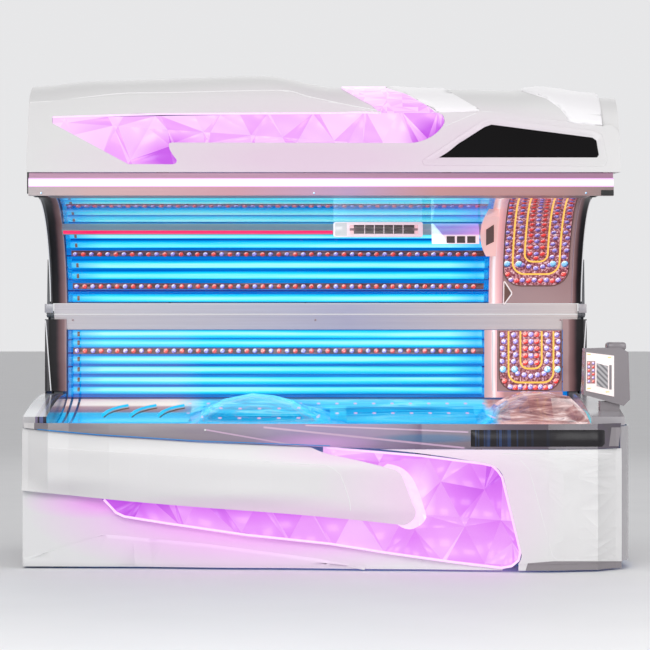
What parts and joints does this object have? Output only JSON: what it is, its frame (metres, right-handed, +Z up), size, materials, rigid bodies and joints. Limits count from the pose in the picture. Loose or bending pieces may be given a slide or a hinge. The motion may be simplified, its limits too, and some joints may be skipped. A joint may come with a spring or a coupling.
{
  "type": "clamshell tanning bed",
  "caption": "Clamshell tanning bed with a lamp-lined bench and back wall, a hinged canopy on gas springs, lit front panels, air nozzles and a control pod; canopy raised.",
  "frame": {"origin": "on the floor, under the middle of the footprint", "axes": "+X along the bed from the foot end to the head end, -Y towards the side the user gets in from, +Z up"},
  "size_m": [2.48, 1.3006, 2.0231],
  "materials": {
    "white_shell": "gloss",
    "glow_panel": "gloss, lit from behind",
    "black_panel": "gloss",
    "grey_panel": "satin",
    "trim_violet": "gloss",
    "clear_sheet": "clear",
    "tube": "lit",
    "holder": "matte",
    "reflector": "bright",
    "rail": "brushed",
    "led": "lit",
    "face_panel": "lit",
    "pink_trim": "gloss",
    "dark_end": "gloss",
    "frame_steel": "powder coated",
    "bright_steel": "bright",
    "chrome": "polished",
    "dark_plastic": "matte",
    "rubber": "matte",
    "glow_bar": "lit from behind",
    "nozzle_white": "gloss",
    "screen": "gloss"
  },
  "bodies": {
    "base": {"ballasts": "dark_plastic", "base_frame": "frame_steel", "base_hinge_rail": "rail", "base_lampholders": "holder", "base_lamps": "tube", "base_reflectors": "reflector", "bench_acrylic": "clear_sheet", "bench_front_trim": "trim_violet", "bench_left_end_cap": "grey_panel", "bench_right_end_cap": "grey_panel", "control_box": "dark_plastic", "control_pod": "grey_panel", "control_screen": "screen", "fan_shroud": "dark_plastic", "front_plinth_panel": "white_shell", "front_right_panel": "white_shell", "front_swoosh_panel": "white_shell", "hinge_brackets": "frame_steel", "hinge_pins": "bright_steel", "left_side_panel": "grey_panel", "levelling_feet": "rubber", "lower_face_panel": "face_panel", "lower_face_trim": "pink_trim", "lower_jewel_panel": "glow_panel", "rear_cover": "white_shell", "rear_end_left": "dark_end", "rear_end_right": "dark_end", "right_side_panel": "grey_panel", "wall_led_strip": "led"},
    "canopy": {"canopy_arms": "frame_steel", "canopy_shell": "white_shell", "canopy_fascia": "white_shell", "canopy_jewel_panel": "glow_panel", "canopy_sign_panel": "black_panel", "canopy_right_end": "white_shell", "canopy_rim": "rail", "canopy_light_bar": "glow_bar", "canopy_side_left": "dark_end", "canopy_side_right": "dark_end", "canopy_lamps": "tube", "canopy_lampholders": "holder", "canopy_led_strips": "led", "canopy_reflector": "reflector", "canopy_acrylic": "clear_sheet", "upper_face_trim": "pink_trim", "upper_face_panel": "face_panel", "canopy_hinge_rail": "rail", "canopy_ribs": "frame_steel", "body_nozzle": "nozzle_white", "breeze_bar": "rail", "face_nozzle": "nozzle_white", "inner_control": "nozzle_white"},
    "spring_bodies": {"spring_bodies": "dark_plastic"},
    "spring_rods": {"spring_rods": "chrome"},
    "fan_rotor": {"fan_rotor": "dark_plastic"},
    "vane_1": {"nozzle_vane_1": "nozzle_white"},
    "vane_2": {"nozzle_vane_2": "nozzle_white"},
    "vane_3": {"nozzle_vane_3": "nozzle_white"},
    "vane_4": {"nozzle_vane_4": "nozzle_white"},
    "vane_5": {"nozzle_vane_5": "nozzle_white"}
  },
  "joints": [
    {"name": "canopy_hinge", "type": "hinge", "parent": "base", "child": "canopy", "pos_m": [0, 0.35, 1.035], "axis": [1, 0, 0], "range_deg": [0, 44]},
    {"name": "spring_body_pivot", "type": "hinge", "parent": "base", "child": "spring_bodies", "pos_m": [0, 0.47, 0.48], "axis": [1, 0, 0], "range_deg": [-1, 0.5]},
    {"name": "spring_rod_slide", "type": "slide", "parent": "spring_bodies", "child": "spring_rods", "axis": [0, -0.076, 0.9971], "range_m": [0, 0.066]},
    {"name": "fan_spin", "type": "hinge", "parent": "base", "child": "fan_rotor", "pos_m": [-0.3, 0.61, 0.263], "axis": [0, 1, 0], "continuous": true},
    {"name": "vane_1_turn", "type": "hinge", "parent": "canopy", "child": "vane_1", "pos_m": [0.158, 0.0929, 1.3965], "axis": [0, 0, 1], "range_deg": [-35, 35]},
    {"name": "vane_2_turn", "type": "hinge", "parent": "canopy", "child": "vane_2", "pos_m": [0.199, 0.0929, 1.3965], "axis": [0, 0, 1], "range_deg": [-35, 35]},
    {"name": "vane_3_turn", "type": "hinge", "parent": "canopy", "child": "vane_3", "pos_m": [0.24, 0.0929, 1.3965], "axis": [0, 0, 1], "range_deg": [-35, 35]},
    {"name": "vane_4_turn", "type": "hinge", "parent": "canopy", "child": "vane_4", "pos_m": [0.281, 0.0929, 1.3965], "axis": [0, 0, 1], "range_deg": [-35, 35]},
    {"name": "vane_5_turn", "type": "hinge", "parent": "canopy", "child": "vane_5", "pos_m": [0.322, 0.0929, 1.3965], "axis": [0, 0, 1], "range_deg": [-35, 35]}
  ],
  "couplings": [
    {"joint": "spring_body_pivot", "follows": "canopy_hinge", "ratio": -0.0086},
    {"joint": "spring_rod_slide", "follows": "canopy_hinge", "m_per_rad": 0.0833},
    {"joint": "vane_2_turn", "follows": "vane_1_turn", "ratio": 1},
    {"joint": "vane_3_turn", "follows": "vane_1_turn", "ratio": 1},
    {"joint": "vane_4_turn", "follows": "vane_1_turn", "ratio": 1},
    {"joint": "vane_5_turn", "follows": "vane_1_turn", "ratio": 1}
  ]
}
